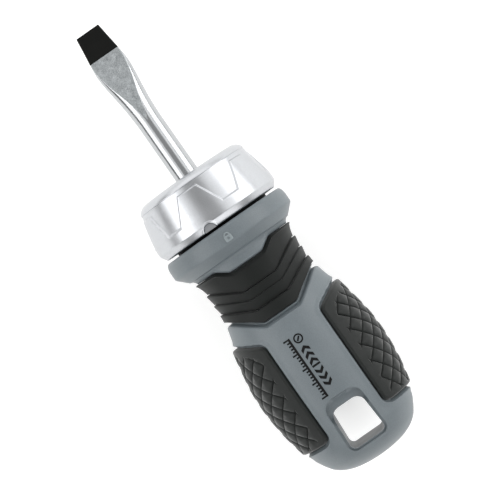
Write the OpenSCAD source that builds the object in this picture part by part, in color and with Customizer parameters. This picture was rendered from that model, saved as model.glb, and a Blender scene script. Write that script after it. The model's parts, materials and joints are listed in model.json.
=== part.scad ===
// Stubby ratcheting screwdriver with a selector collar.
// The shaft lies along X with the tip towards +X, and +Z points out of the handle's front face.
// The origin is on the shaft's axis, in the plane of the collar's front face.
// A depth is a distance from that plane back towards the butt, so it runs along -X.

/* [Blade] */
// Diameter of the round shank
shank_d = 6; // [5.6:0.1:6.4]
// Reach of the blade in front of the collar
blade_reach = 40.8; // [36:0.2:80]
// Length of the forged end, from the tip to where the shank is round
forged_len = 25.1; // [20:0.1:32]
// Width of the blade at its tip
tip_w = 6.2; // [5.5:0.1:7.4]
// Thickness of the blade at its tip
tip_t = 1; // [0.8:0.1:1.6]
// Width of the forged flare
flare_w = 8.5; // [7.6:0.1:9.6]
// Length of the hexagonal tang inside the spindle
tang_len = 7; // [5:0.5:8]
// Width across the tang's flats
tang_flats = 5; // [4.4:0.1:5]

/* [Selector collar] */
// Largest diameter of the collar
collar_d = 32.2; // [31.8:0.1:34]
// Length of the collar along the shaft
collar_len = 13.5; // [13:0.1:15]
// How much smaller the radius of the collar's flat front face is than its largest radius
front_inset = 3.55; // [3.2:0.05:3.65]
// Radius of the round edge between the front face and the side
rim_round = 1.8; // [1.5:0.1:2]
// Height of the zigzag relief above the recess
relief = 0.4; // [0.2:0.05:0.5]
// Number of raised fields in the zigzag
field_count = 6; // [5:1:7]
// Width of a raised field at its top
field_top_w = 5.2; // [3.5:0.1:6]
// Width of a raised field at its base
field_base_w = 12; // [10:0.1:13]
// Radius of the half-round pointer notch
pointer_r = 1.6; // [1.2:0.1:1.9]
// Angle of the pointer from the padlock mark, at rest
collar_turn = 6.5; // [0:0.5:10]
// Thickness of the collar's front wall
front_wall = 2.4; // [2.2:0.1:2.6]
// Thickness of the wall round the collar's cavity, behind the rim
cavity_wall = 1.2; // [1.1:0.05:1.3]

/* [Ratchet] */
// Number of teeth on the spindle
tooth_count = 24; // [24:12:36]
// Depth of a tooth
tooth_depth = 1; // [0.8:0.05:1.05]
// Length of the toothed part of the spindle
gear_len = 4.4; // [4:0.1:4.6]
// Angle that the collar turns each way from its middle position
selector_swing = 20; // [16:1:22]
// Thickness of the cam disc
cam_t = 1.1; // [0.9:0.1:1.2]
// Thickness of the front plate
plate_t = 1.2; // [1.1:0.1:1.4]
// Width of a pawl round the shaft
pawl_w = 4; // [3.6:0.1:4.4]
// Radius of a pawl's pin
pawl_pin_r = 0.7; // [0.6:0.05:0.75]
// Wire diameter of a pawl's spring
spring_wire_d = 0.36; // [0.3:0.02:0.4]
// Outer diameter of a pawl's spring
spring_d = 2.8; // [2.4:0.1:2.9]
// Number of turns of a pawl's spring
spring_turns = 4; // [3:1:4]
// Number of screws in the front plate
screw_count = 4; // [4:2:6]
// Length of a plate screw
screw_len = 5; // [4:0.5:6]

/* [Housing] */
// Radius of the housing's stem in the handle
stem_r = 7.6; // [7.5:0.1:8]
// Length of the stem behind the head
stem_len = 20.4; // [20:0.1:24]
// Number of splines on the stem
spline_count = 6; // [4:1:10]
// Length of the rear bush
bush_len = 7; // [5:0.5:7.5]
// Wall of the rear bush
bush_wall = 2; // [1.6:0.1:2]
// Thickness of the bearing ring
ring_t = 1.6; // [1.2:0.1:1.8]
// Gap round the bearing ring, inside the collar's rim
ring_gap = 0.85; // [0.5:0.05:2]
// Gap between the collar and the handle's shoulder
shoulder_gap = 0.75; // [0.5:0.05:1]

/* [Handle] */
// Length from the collar's front face to the butt
body_end = 78.7; // [76:0.1:95]
// Width of the handle's core, without the side grips
core_w = 32.4; // [31:0.1:34]
// How far the core's front and back are drawn in, compared with its sides
draw_in = 1.05; // [0.8:0.05:1.3]
// How far the shoulder stands out past the collar
shoulder_step = 0.2; // [0:0.05:0.9]
// Length of the shoulder, up to its cone
shoulder_len = 4.15; // [3.8:0.05:4.4]
// Length of the cone behind the shoulder
shoulder_cone = 3.2; // [3:0.1:3.4]
// Radius of the core inside the rubber neck
waist_r = 10.6; // [10.2:0.1:10.8]
// Height that the padlock mark stands out
mark_rise = 0.2; // [0.1:0.05:0.3]
// Width of the padlock mark
mark_w = 1.9; // [1.5:0.1:2.4]

/* [Rubber] */
// Length of the rubber neck at its sides
neck_len = 10.8; // [10:0.1:12]
// Radius of the neck's lips
lip_r = 12.55; // [12.3:0.05:12.9]
// Radius of the neck's flared front edge
neck_flare_r = 13.4; // [13:0.1:14]
// How far the wavy edges dip at the front and back
wave_dip = 5; // [3:0.1:5.5]
// Half of the width of the waves' flat stretch
wave_flat = 4.7; // [4:0.1:6]
// Depth of a side grip in the core
grip_depth = 1.5; // [1.2:0.1:1.7]
// How far a side grip stands out of the core
grip_rise = 0.8; // [0.5:0.05:1]
// Distance from the shaft's axis to a grip's inner edge, seen from the front
grip_edge = 8.1; // [7.6:0.1:9]
// Length of a side grip along its side
grip_len = 29.6; // [27:0.1:30]

/* [Hang hole] */
// Width of the hang hole at its butt end
hole_w = 9.3; // [8:0.1:10]
// Width of the hang hole at its neck end
hole_top_w = 8.2; // [7:0.1:8.8]
// Length of the hang hole
hole_len = 10.4; // [9:0.1:10.6]
// Width of the lip round the hang hole
hole_lip = 0.7; // [0.4:0.05:0.9]
// Thickness of the bar between the hang hole and the butt
butt_bar = 4.9; // [4.5:0.1:6]

/* [Hidden] */
$fn = 96;

// Clearances, and the overrun of every cut
run_gap = 0.05;
seat_gap = 0.05;
end_play = 0.1;
over = 1;

// Spindle: bore, front journal, teeth, body and tail
shank_r = shank_d / 2;
bore_r = shank_r + seat_gap;
spindle_wall = 1.4;
journal_r = shank_r + spindle_wall;
root_step = 0.2;
root_r = journal_r + root_step;
tip_r = root_r + tooth_depth;
body_step = 0.1;
body_r = journal_r + body_step;
tail_step = 0.4;
tail_r = journal_r - tail_step;
spindle_front = 0.2;
pitch = 360 / tooth_count;

// Boss that the collar turns on, and the snap ring in its groove
boss_wall = 1.5;
boss_bore_r = journal_r + run_gap;
boss_r = boss_bore_r + boss_wall;
snap_groove = 0.65;
snap_groove_r = boss_r - snap_groove;
snap_w = 1.5;
snap_in_r = snap_groove_r + seat_gap;
snap_ear_r = 0.85;
snap_ear_place = snap_in_r + snap_w + snap_ear_r / 4;
snap_hole_r = 0.4;
snap_recess_r = snap_ear_place + snap_ear_r + end_play * 2;
snap_web = 0.9;
clip_t = 0.6;
snap_recess = front_wall - snap_web;
snap_back = snap_recess - end_play;
snap_front = snap_back - clip_t;

// Depths of the stack behind the collar's front wall
cam_front = front_wall + end_play;
cam_back = cam_front + cam_t;
plate_front = cam_back + end_play;
plate_back = plate_front + plate_t;
gear_front = plate_back + end_play;
gear_back = gear_front + gear_len;
washer_t = 0.8;
washer_front = gear_back + end_play / 2;
washer_back = washer_front + washer_t;
pocket_back = washer_back + end_play / 2;
core_front = collar_len + shoulder_gap;
head_back = core_front - ring_t;
stem_back = head_back + stem_len;
clip_back = stem_back - washer_t;
clip_front = clip_back - clip_t;
bush_back = clip_front - end_play;
bush_front = bush_back - bush_len;
spindle_back = clip_back + clip_t;
tang_back = bush_front - end_play;
tang_front = tang_back - tang_len;
pin_depth = (tang_front + tang_back) / 2;
pin_r = 0.75;

// Radii of the collar, its cavity and the housing's head
collar_r = collar_d / 2;
front_r = collar_r - front_inset;
rim_r = front_r + rim_round;
cavity_r = rim_r - cavity_wall;
ring_r = cavity_r - ring_gap;
cam_r = cavity_r - end_play;
head_gap = 0.15;
head_r = cavity_r - head_gap;
plate_gap = 0.3;
plate_r = cavity_r - plate_gap;
band_len = 4.1;
band_front = collar_len - band_len;
band_rise_share = 0.15;
field_front = 3;
tail_chamfer = 1;
tail_chamfer_len = 1.5;
key_count = 3;
key_w = 2.4;
key_rise = 1;
pointer_rim = 0.6;
pointer_rise = 0.2;
pointer_depth = 0.9;
notch_r = 0.75;

// Pawls, their pins and the cam's slots
pocket_r = tip_r + root_step;
tip_gap = 0.05;
flank_gap = 0.07;
gap_root_share = 0.16;
gap_tip_share = 0.36;
pawl_travel = tooth_depth / 2;
pawl_tip = root_r + tip_gap + pawl_travel;
pawl_edge = 0.06;
slot_gap = 0.1;
slot_half = pawl_pin_r + slot_gap;
cam_web = 0.5;
pin_place = boss_r + run_gap + cam_web + slot_half + pawl_travel;
pawl_heel = 0.85;
pawl_back = pin_place + pawl_pin_r + pawl_heel;
pawl_seat = 0.5;
pin_bite = 2.5;
cam_rate = pawl_travel / selector_swing;
slot_end_angle = 8;
slot_steps = 28;
head_wall = 0.9;
spring_seat = head_r - head_wall;
pawl_mid = (gear_front + gear_back) / 2;

// Plate screws
screw_r = 1;
screw_head_r = 1.85;
screw_inset = 2.8;
screw_place = head_r - screw_inset;
screw_first_angle = 50;
screw_sweep_angle = 80;
screw_tip_gap = 0.3;
screw_socket_r = 0.75;
screw_socket = 0.7;

// Click spring: half widths and heights of its leaf, from the pocket's floor
click_half = 4.3;
click_knee = 0.9;
click_top = 0.3;
click_t = 0.35;
click_w = 3;
click_depth = 1.2;
click_floor = head_r - click_depth;
click_front = pocket_back - gear_len;

// Housing's splines
spline_w = 1.6;
spline_rise = 0.5;
spline_inset = 4.8;
spline_tail = 1.2;
spline_front = head_back + spline_inset;
spline_back = stem_back - spline_tail;
bush_r = tail_r + run_gap + bush_wall;

// Shoulder, neck and body of the handle
shoulder_r = collar_r + shoulder_step;
shoulder_bevel = 0.7;
shoulder_bevel_len = 1.95;
tongue_r = 12.6;
neck_gap = 0.5;
neck_front = core_front + shoulder_len + shoulder_cone + neck_gap;
body_front = neck_front + neck_len;
core_half = core_w / 2;
wide = collar_d;
lip_taper = 0.17;
cuff_taper = 0.03;
flare_len = 2.8;
layer_bury = 0.3;
layer_count = 4;
grip_back_gap = 9.8;
grip_back = body_end - grip_back_gap;
grip_front = grip_back - grip_len;
grip_slant = 3.1;
grip_round = 1.8;
grip_gap = 0.15;

// Hang hole
hole_back = body_end - butt_bar;
hole_front = hole_back - hole_len;
hole_round = 1.9;
hole_top_round = 2.6;
lip_depth = 0.4;
ramp_len = 2;
ramp_r = 5.8;
ramp_shift = 3.1;
ramp_lift = 1.45;

// Padlock mark
mark_back = core_front + shoulder_len - 0.1 * mark_w;
mark_len = 0.75 * mark_w;
mark_arch_r = 0.32 * mark_w;
mark_bar = 0.13 * mark_w;

// The blade's forged end, from its tip back: place as a share of the forged length, width and
// thickness as shares of the change from tip to flare or from shank to flare, flat across the width
tip_side_shares = [
    [0, 0, 0, 0.97],
    [0.14, 0.37, 0.045, 0.97],
    [0.27, 0.74, 0.095, 0.965],
    [0.33, 0.91, 0.13, 0.94]
];
shank_side_shares = [
    [0.4, 1, 0.2, 0.89],
    [0.465, 0.95, 0.3, 0.83],
    [0.555, 0.78, 0.46, 0.745],
    [0.625, 0.6, 0.6, 0.65],
    [0.695, 0.44, 0.72, 0.54],
    [0.76, 0.31, 0.82, 0.43],
    [0.835, 0.19, 0.905, 0.31],
    [0.925, 0.07, 0.975, 0.15],
    [1, 0, 1, 0.02]
];

// The neck's wavy edges, from the front back: place at the side as a share of the neck's length,
// dip as a share of the wave's dip, and where the slope starts as a share of the lips' radius
neck_edge_shares = [
    [0, 0.41, 0.62],
    [0.315, 0.83, 0.97],
    [0.574, 0.73, 0.97],
    [0.829, 0.72, 0.97],
    [1, 1, 0.97]
];

// The core's side profile: place as a share of the length behind the neck, half width as a share
core_shares = [
    [0, 0.772], [0.041, 0.796], [0.097, 0.837], [0.132, 0.864], [0.188, 0.901], [0.259, 0.938],
    [0.335, 0.975], [0.396, 0.994], [0.462, 1], [0.513, 0.998], [0.564, 0.988], [0.645, 0.963],
    [0.716, 0.926], [0.777, 0.889], [0.818, 0.865], [0.848, 0.84], [0.878, 0.794],
    [0.909, 0.74], [0.93, 0.696], [0.953, 0.61], [0.965, 0.56], [0.983, 0.431], [0.9935, 0.273],
    [1, 0.05]
];

// A round bar on the shaft's axis between two depths
module bar(front, back, r) {
    translate([-back, 0, 0]) rotate([0, 90, 0]) cylinder(h = back - front, r = r);
}

// A block between two depths, with its other corners given
module block(front, back, y_low, y_high, z_low, z_high) {
    translate([-back, y_low, z_low]) cube([back - front, y_high - y_low, z_high - z_low]);
}

// A solid turned about the shaft's axis from points of depth and radius
module turned(points) {
    rotate([0, 90, 0]) rotate_extrude() polygon([for (p = points) [p[1], -p[0]]]);
}

// A flat shape of Y and Z, drawn out between two depths
module drawn(front, back) {
    translate([-back, 0, 0]) rotate([90, 0, 90]) linear_extrude(back - front) children();
}

// An outline of depth and Y, seen from the front and drawn out between two heights
module pressed(points, z_low, z_high) {
    translate([0, 0, z_low]) linear_extrude(z_high - z_low)
        polygon([for (p = points) [-p[0], p[1]]]);
}

// A round pin along Z at a depth and a Y
module upright(depth, y, z_low, z_high, r) {
    translate([-depth, y, z_low]) cylinder(h = z_high - z_low, r = r);
}

function unit(v) = v / norm(v);
function turn_between(a, b) = (b - a + 540) % 360 - 180;

// The arc that rounds one corner, q, of an outline between its neighbours p and s
function arc_points(p, q, s, steps = 6) =
    let (
        here = [q[0], q[1]],
        u = unit([p[0], p[1]] - here),
        v = unit([s[0], s[1]] - here),
        half = acos(u * v) / 2,
        start = here + u * q[2] / tan(half),
        end = here + v * q[2] / tan(half),
        centre = here + unit(u + v) * q[2] / sin(half),
        a = atan2(start[1] - centre[1], start[0] - centre[0]),
        b = atan2(end[1] - centre[1], end[0] - centre[0]),
        sweep = turn_between(a, b)
    )
    [for (i = [0 : steps]) centre + q[2] * [cos(a + sweep * i / steps), sin(a + sweep * i / steps)]];

// An outline of [x, y, corner radius] points with its corners rounded
function rounded(points) = [
    for (i = [0 : len(points) - 1])
        let (
            p = points[(i + len(points) - 1) % len(points)],
            q = points[i],
            s = points[(i + 1) % len(points)]
        )
        each (q[2] > 0 ? arc_points(p, q, s) : [[q[0], q[1]]])
];

// A closed skin over rings of points, whose first ring faces the way the rings come from
module skin(rings) {
    n = len(rings[0]);
    last = len(rings) - 1;
    polyhedron(
        points = [for (ring = rings) each ring],
        faces = [
            [for (j = [0 : n - 1]) n - 1 - j],
            for (i = [0 : last - 1])
                for (j = [0 : n - 1])
                    let (a = i * n + j, b = i * n + (j + 1) % n)
                    each [[a, b, b + n], [a, b + n, a + n]],
            [for (j = [0 : n - 1]) last * n + j]
        ]
    );
}

// The blade's forged end
blade_sides = 32;
function blade_ring(x, w, t, flat) =
    let (bulge = t / 2 / sqrt(1 - flat * flat))
    [
        for (i = [0 : blade_sides - 1])
            let (a = 360 * i / blade_sides)
            [x, w / 2 * cos(a), max(-t / 2, min(t / 2, bulge * sin(a)))]
    ];
function thickness_at(share) = tip_t + (shank_d - tip_t) * share;
function forged_rings() = [
    for (s = tip_side_shares)
        blade_ring(blade_reach - forged_len * s[0], tip_w + (flare_w - tip_w) * s[1],
            thickness_at(s[2]), s[3]),
    for (s = shank_side_shares)
        blade_ring(blade_reach - forged_len * s[0], shank_d + (flare_w - shank_d) * s[1],
            thickness_at(s[2]), s[3])
];

module hex_bar(front, back, flats) {
    translate([-back, 0, 0]) rotate([0, 90, 0])
        cylinder(h = back - front, r = flats / 2 / cos(30), $fn = 6);
}

module blade() {
    color("silver") difference() {
        union() {
            skin(forged_rings());
            bar(forged_len - blade_reach, tang_front, shank_r);
            hex_bar(tang_front - seat_gap, tang_back, tang_flats);
        }
        upright(pin_depth, 0, -body_r, body_r, pin_r + seat_gap);
    }
}

// The spindle's teeth: half the gap between two teeth at a radius, and the toothed outline
function gap_half(r) =
    let (
        at_root = root_r * sin(pitch * gap_root_share),
        at_tip = tip_r * sin(pitch * gap_tip_share)
    )
    at_root + (at_tip - at_root) * (r - root_r) / tooth_depth;

module teeth() {
    polygon([
        for (i = [0 : tooth_count - 1])
            for (p = [
                [root_r, gap_root_share],
                [tip_r, gap_tip_share],
                [tip_r, 1 - gap_tip_share],
                [root_r, 1 - gap_root_share]
            ])
                p[0] * [cos(pitch * (i + p[1])), sin(pitch * (i + p[1]))]
    ]);
}

module spindle() {
    color("dimgray") difference() {
        union() {
            bar(spindle_front, gear_front + over, journal_r);
            drawn(gear_front, gear_back) teeth();
            bar(gear_back - over, bush_front, body_r);
            bar(bush_front - over, spindle_back, tail_r);
        }
        bar(-over, tang_front, bore_r);
        hex_bar(tang_front - over, tang_back + seat_gap, tang_flats + 2 * seat_gap);
        upright(pin_depth, 0, -tip_r, tip_r, pin_r + seat_gap);
        difference() {
            bar(clip_front - seat_gap, clip_back + seat_gap, tail_r + over);
            bar(clip_front - over, clip_back + over, tail_r - clip_t);
        }
    }
}

module blade_pin() {
    color("gray") difference() {
        upright(pin_depth, 0, -body_r, body_r, pin_r);
        upright(pin_depth, 0, -tip_r, tip_r, pin_r / 2);
    }
}

// Depth at which the band has its full radius, and radius of the recess below the zigzag
band_full = band_front + band_len * band_rise_share;
field_slope = (collar_r - relief - rim_r) / (band_full - rim_round);
function recess_r(depth) = rim_r + field_slope * (depth - rim_round);
rim_steps = 12;

// The collar as if the zigzag's fields ran all the way round
module collar_skin() {
    turned([
        [0, 0],
        for (i = [0 : rim_steps])
            let (a = 90 * i / rim_steps)
            [rim_round * (1 - cos(a)), front_r + rim_round * sin(a)],
        [field_front, recess_r(field_front) + relief],
        [band_full, collar_r],
        [collar_len - tail_chamfer_len, collar_r],
        [collar_len, collar_r - tail_chamfer],
        [collar_len, 0]
    ]);
}

// What is cut away between the fields
module collar_recess() {
    difference() {
        turned([
            [rim_round, rim_r],
            [band_front, recess_r(band_front)],
            [band_front, wide],
            [rim_round, wide]
        ]);
        for (i = [0 : field_count - 1])
            rotate([360 * i / field_count, 0, 0]) pressed([
                [field_front, -field_top_w / 2],
                [band_full, -field_base_w / 2],
                [band_full, field_base_w / 2],
                [field_front, field_top_w / 2]
            ], cavity_r / 2, 2 * wide);
    }
}

module pointer_ring() {
    intersection() {
        turned([
            [band_front, cavity_r],
            [band_front, collar_r + pointer_rise],
            [collar_len - tail_chamfer_len, collar_r + pointer_rise],
            [collar_len, collar_r + pointer_rise - tail_chamfer],
            [collar_len, cavity_r]
        ]);
        upright(collar_len, 0, cavity_r, wide, pointer_r + pointer_rim);
    }
}

module selector_collar() {
    color("lightgray") difference() {
        union() {
            difference() {
                rotate([-collar_turn, 0, 0]) {
                    difference() {
                        collar_skin();
                        collar_recess();
                    }
                    pointer_ring();
                }
                bar(front_wall, collar_len + over, cavity_r);
            }
            for (i = [0 : key_count - 1])
                rotate([360 * i / key_count - 90, 0, 0])
                    block(front_wall - snap_web / 2, cam_back, -key_w / 2, key_w / 2,
                        cavity_r - key_rise, cavity_r + cavity_wall / 2);
        }
        bar(-over, front_wall + over, boss_r + run_gap);
        bar(-over, snap_recess, snap_recess_r);
        rotate([-collar_turn, 0, 0])
            upright(collar_len, 0, collar_r - pointer_depth, wide, pointer_r);
        for (a = [-selector_swing, 0, selector_swing])
            rotate([a, 0, 0]) translate([0, 0, cavity_r])
                bar(click_front - click_t, click_front + click_w + click_t, notch_r);
    }
}

// One spiral slot of the cam, whose radius grows with the angle where way is 1
module cam_slot(way) {
    reach = selector_swing + slot_end_angle;
    angles = [for (i = [0 : slot_steps]) -reach + 2 * reach * i / slot_steps];
    polygon([
        for (a = angles) (pin_place + way * cam_rate * a + slot_half) * [cos(a), sin(a)],
        for (a = angles) (pin_place - way * cam_rate * a - slot_half) * [cos(-a), sin(-a)]
    ]);
}

module cam_disc() {
    color("darkgray") drawn(cam_front, cam_back) difference() {
        circle(r = cam_r);
        circle(r = boss_r + 2 * run_gap);
        cam_slot(-1);
        rotate([0, 0, 180]) cam_slot(1);
        for (i = [0 : key_count - 1])
            rotate([0, 0, 360 * i / key_count])
                translate([cavity_r - key_rise - seat_gap, -key_w / 2 - seat_gap])
                    square([wide, key_w + 2 * seat_gap]);
    }
}

module retaining_ring() {
    color("gray") drawn(snap_front, snap_back) difference() {
        union() {
            circle(r = snap_in_r + snap_w);
            for (side = [-1, 1])
                translate([side * (snap_ear_r + snap_hole_r), -snap_ear_place])
                    circle(r = snap_ear_r);
        }
        circle(r = snap_in_r);
        translate([-snap_hole_r, -wide]) square([2 * snap_hole_r, wide]);
        for (side = [-1, 1])
            translate([side * (snap_ear_r + snap_hole_r), -snap_ear_place])
                circle(r = snap_hole_r);
    }
}

module bearing_ring() {
    color("black") difference() {
        bar(head_back, core_front, ring_r);
        bar(head_back - over, core_front + over, stem_r + seat_gap);
    }
}

// The splines on the stem, or with a gap the grooves that take them
module splines(front, back, gap) {
    for (i = [0 : spline_count - 1])
        rotate([360 * i / spline_count, 0, 0])
            block(front, back, -spline_w / 2 - gap, spline_w / 2 + gap,
                stem_r - spline_rise, stem_r + spline_rise + gap);
}

// The angle of each plate screw round the axis, half of them above and half below
function screw_angles() = [
    for (side = [0, 1])
        for (i = [0 : screw_count / 2 - 1])
            180 * side + screw_first_angle + screw_sweep_angle * i / (screw_count / 2 - 1)
];

module at_screws() {
    for (a = screw_angles())
        rotate([a, 0, 0]) translate([0, screw_place, 0]) children();
}

module gear_housing() {
    color("dimgray") difference() {
        union() {
            bar(plate_back, head_back, head_r);
            bar(head_back - over, stem_back, stem_r);
            splines(spline_front, spline_back, 0);
        }
        bar(plate_back - over, pocket_back, pocket_r);
        bar(pocket_back - over, stem_back + over, body_r + root_step);
        bar(bush_front - end_play, stem_back + over, bush_r + seat_gap);
        block(plate_back - over, gear_back + end_play, -spring_seat, spring_seat,
            -pawl_w / 2 - seat_gap, pawl_w / 2 + seat_gap);
        block(click_front - click_t, click_front + click_w + click_t,
            -click_half - click_t, click_half + click_t, click_floor, wide);
        at_screws() bar(plate_back - over, plate_front + screw_len + screw_tip_gap,
            screw_r + seat_gap);
    }
}

module front_plate() {
    color("gray") difference() {
        union() {
            bar(plate_front, plate_back, plate_r);
            bar(spindle_front, plate_front + over / 2, boss_r);
        }
        bar(-over, plate_back + over, boss_bore_r);
        difference() {
            bar(snap_front - seat_gap / 2, snap_back + seat_gap / 2, boss_r + over);
            bar(snap_front - over, snap_back + over, snap_groove_r);
        }
        for (side = [-1, 1])
            block(plate_front - over, plate_back + over,
                side * pin_place - pawl_travel - slot_half,
                side * pin_place + pawl_travel + slot_half, -slot_half, slot_half);
        at_screws() screw_body(seat_gap, plate_back + over);
    }
}

// A countersunk screw from the plate's front to a depth, with a gap added all round
module screw_body(gap, back) {
    turned([
        [plate_front - gap, 0],
        [plate_front - gap, screw_head_r + gap],
        [plate_front + screw_head_r - screw_r, screw_r + gap],
        [back, screw_r + gap],
        [back, 0]
    ]);
}

module plate_screws() {
    color("silver") at_screws() difference() {
        screw_body(0, plate_front + screw_len);
        hex_bar(plate_front - over, plate_front + screw_socket, 2 * screw_socket_r);
    }
}

// A pawl on the +Y side, whose steep flank faces -Z
module pawl() {
    depth_of_tooth = tip_r - root_r - tip_gap;
    low = gap_half(root_r + tip_gap) - flank_gap;
    high = gap_half(tip_r) - flank_gap;
    face = pawl_tip + depth_of_tooth + tip_gap;
    difference() {
        drawn(gear_front, gear_back) polygon([
            [pawl_tip, -low],
            [pawl_tip, pawl_edge - low],
            [pawl_tip + depth_of_tooth, high],
            [face, high],
            [face, pawl_w / 2],
            [pawl_back, pawl_w / 2],
            [pawl_back, -pawl_w / 2],
            [face, -pawl_w / 2],
            [face, -high],
            [pawl_tip + depth_of_tooth, -high]
        ]);
        translate([0, pin_place, 0])
            bar(gear_front - over, gear_front + pin_bite, pawl_pin_r + seat_gap / 2);
        translate([-pawl_mid, pawl_back - pawl_seat, 0]) rotate([-90, 0, 0])
            cylinder(h = over, r = spring_d / 2 + end_play);
    }
}

module pawl_left() {
    color("slategray") pawl();
}

module pawl_right() {
    color("slategray") mirror([0, 1, 0]) pawl();
}

module pawl_pin(side) {
    translate([0, side * pin_place, 0])
        bar(cam_front + end_play / 2, gear_front + pin_bite - end_play, pawl_pin_r);
}

module pawl_pin_left() {
    color("silver") pawl_pin(1);
}

module pawl_pin_right() {
    color("silver") pawl_pin(-1);
}

// A coil spring between the pawl and the housing's wall
spring_sides = 6;
spring_rings = 12;
module pawl_spring() {
    low = pawl_back - pawl_seat + seat_gap + spring_wire_d / 2;
    high = spring_seat - seat_gap - spring_wire_d / 2;
    coil_r = (spring_d - spring_wire_d) / 2;
    skin([
        for (i = [0 : spring_turns * spring_rings])
            let (a = 360 * i / spring_rings, y = low + (high - low) * i / spring_turns / spring_rings)
            [
                for (j = [0 : spring_sides - 1])
                    let (
                        b = 360 * j / spring_sides,
                        r = coil_r + spring_wire_d / 2 * cos(b)
                    )
                    [r * cos(a) - pawl_mid, y - spring_wire_d / 2 * sin(b), r * sin(a)]
            ]
    ]);
}

module pawl_spring_left() {
    color("lightsteelblue") pawl_spring();
}

module pawl_spring_right() {
    color("lightsteelblue") rotate([180, 0, 0]) pawl_spring();
}

module click_spring() {
    foot = click_floor + seat_gap;
    top = cavity_r + notch_r / 3;
    knee = foot + (top - foot) / 3 + click_t / 2;
    path = [
        [-click_half, foot],
        [-click_knee, knee],
        [-click_top, top - click_t],
        [click_top, top - click_t],
        [click_knee, knee],
        [click_half, foot]
    ];
    color("lightsteelblue") drawn(click_front, click_front + click_w) polygon([
        for (p = path) p,
        for (i = [len(path) - 1 : -1 : 0]) path[i] + [0, click_t]
    ]);
}

module thrust_washer() {
    color("goldenrod") difference() {
        bar(washer_front, washer_back, pocket_r - end_play);
        bar(washer_front - over, washer_back + over, body_r + end_play);
    }
}

module rear_bush() {
    color("goldenrod") difference() {
        bar(bush_front, bush_back, bush_r);
        bar(bush_front - over, bush_back + over, tail_r + run_gap);
    }
}

module spindle_clip() {
    color("gray") drawn(clip_front, clip_back) difference() {
        circle(r = tail_r + clip_t);
        circle(r = tail_r - clip_t + seat_gap);
        translate([-clip_t, -wide]) square([2 * clip_t, wide]);
    }
}

// Half width of the core at a row of its table, and the turned radius that gives it
function core_depth(row) = body_front + (body_end - body_front) * row[0];
function lens_r(half) = sqrt(half * half + draw_in * draw_in);

// The core's body, grown or shrunk all round: two turned shapes whose axes lie apart
module lens(grow) {
    profile = [
        [body_front, 0],
        for (row = core_shares) [core_depth(row), max(0, lens_r(core_half * row[1]) + grow)],
        [body_end, 0]
    ];
    intersection() {
        translate([0, 0, draw_in]) turned(profile);
        translate([0, 0, -draw_in]) turned(profile);
    }
}

// One wavy edge of the neck, from one side over the front to the other side
function neck_edge(i, shift) =
    let (
        s = neck_edge_shares[i],
        side = neck_front + neck_len * s[0] + shift,
        front = side + wave_dip * s[1],
        y = lip_r * s[2]
    )
    [[side, -wide], [side, -y], [front, -wave_flat], [front, wave_flat], [side, y], [side, wide]];
function backwards(list) = [for (i = [len(list) - 1 : -1 : 0]) list[i]];

// Everything between two of the neck's edges
module neck_zone(from, to, shift) {
    pressed(concat(neck_edge(from, 0), backwards(neck_edge(to, shift))), -wide, wide);
}

function grip_outline(gap) = rounded([
    [grip_front - gap, wide, 0],
    [grip_front - gap, core_half - grip_round - gap, 0],
    [grip_front + grip_slant - gap, grip_edge - gap, grip_round],
    [grip_back + gap, grip_edge - gap, grip_round],
    [grip_back + gap, wide, 0]
]);

// Outline of the hang hole, grown all round and further towards the neck
function hole_outline(grow, further) = rounded([
    [hole_front - grow - further, hole_top_w / 2 + grow, hole_top_round + grow],
    [hole_back + grow, hole_w / 2 + grow, hole_round + grow],
    [hole_back + grow, -hole_w / 2 - grow, hole_round + grow],
    [hole_front - grow - further, -hole_top_w / 2 - grow, hole_top_round + grow]
]);

// The sloping scoop at the neck end of the hang hole
module hole_ramp() {
    top = core_half - draw_in;
    intersection() {
        pressed(hole_outline(hole_lip, ramp_len), 0, wide);
        block(grip_front, hole_front + hole_top_round, -wide, wide, 0, wide);
        translate([-hole_front - ramp_shift, 0, top + ramp_lift]) rotate([90, 0, 0])
            cylinder(h = 2 * wide, r = ramp_r, center = true);
    }
}

module padlock_mark() {
    arch = mark_back - mark_len;
    difference() {
        union() {
            pressed(rounded([
                [arch, mark_w / 2, mark_bar],
                [mark_back, mark_w / 2, mark_bar],
                [mark_back, -mark_w / 2, mark_bar],
                [arch, -mark_w / 2, mark_bar]
            ]), shoulder_r - shoulder_bevel, shoulder_r + mark_rise);
            upright(arch, 0, shoulder_r - shoulder_bevel, shoulder_r + mark_rise, mark_arch_r + mark_bar);
        }
        difference() {
            upright(arch, 0, shoulder_r, shoulder_r + over, mark_arch_r);
            block(arch, mark_back, -mark_w, mark_w, 0, wide);
        }
        upright((arch + mark_back) / 2, 0, shoulder_r, shoulder_r + over, mark_bar);
    }
}

module handle_core() {
    color("#78828a") difference() {
        union() {
            turned([
                [core_front, 0],
                [core_front, shoulder_r - shoulder_bevel],
                [core_front + shoulder_bevel_len / 2, shoulder_r - shoulder_bevel / 4],
                [core_front + shoulder_bevel_len, shoulder_r],
                [core_front + shoulder_len, shoulder_r],
                [core_front + shoulder_len + shoulder_cone, tongue_r],
                [neck_front + wave_dip, tongue_r],
                [neck_front + wave_dip, 0]
            ]);
            bar(neck_front, body_front + wave_dip + over, waist_r);
            lens(0);
            padlock_mark();
        }
        difference() {
            neck_zone(0, layer_count, 0);
            bar(core_front, body_end, waist_r);
        }
        for (side = [0, 1])
            mirror([0, side, 0]) difference() {
                pressed(grip_outline(grip_gap), -wide, wide);
                lens(-grip_depth - seat_gap);
            }
        pressed(hole_outline(0, 0), -wide, wide);
        difference() {
            pressed(hole_outline(hole_lip, ramp_len), -wide, wide);
            lens(-lip_depth);
        }
        for (side = [0, 1])
            mirror([0, 0, side]) hole_ramp();
        bar(core_front - over, stem_back + end_play, stem_r + seat_gap);
        splines(core_front - over, spline_back + end_play, seat_gap);
    }
}

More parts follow.
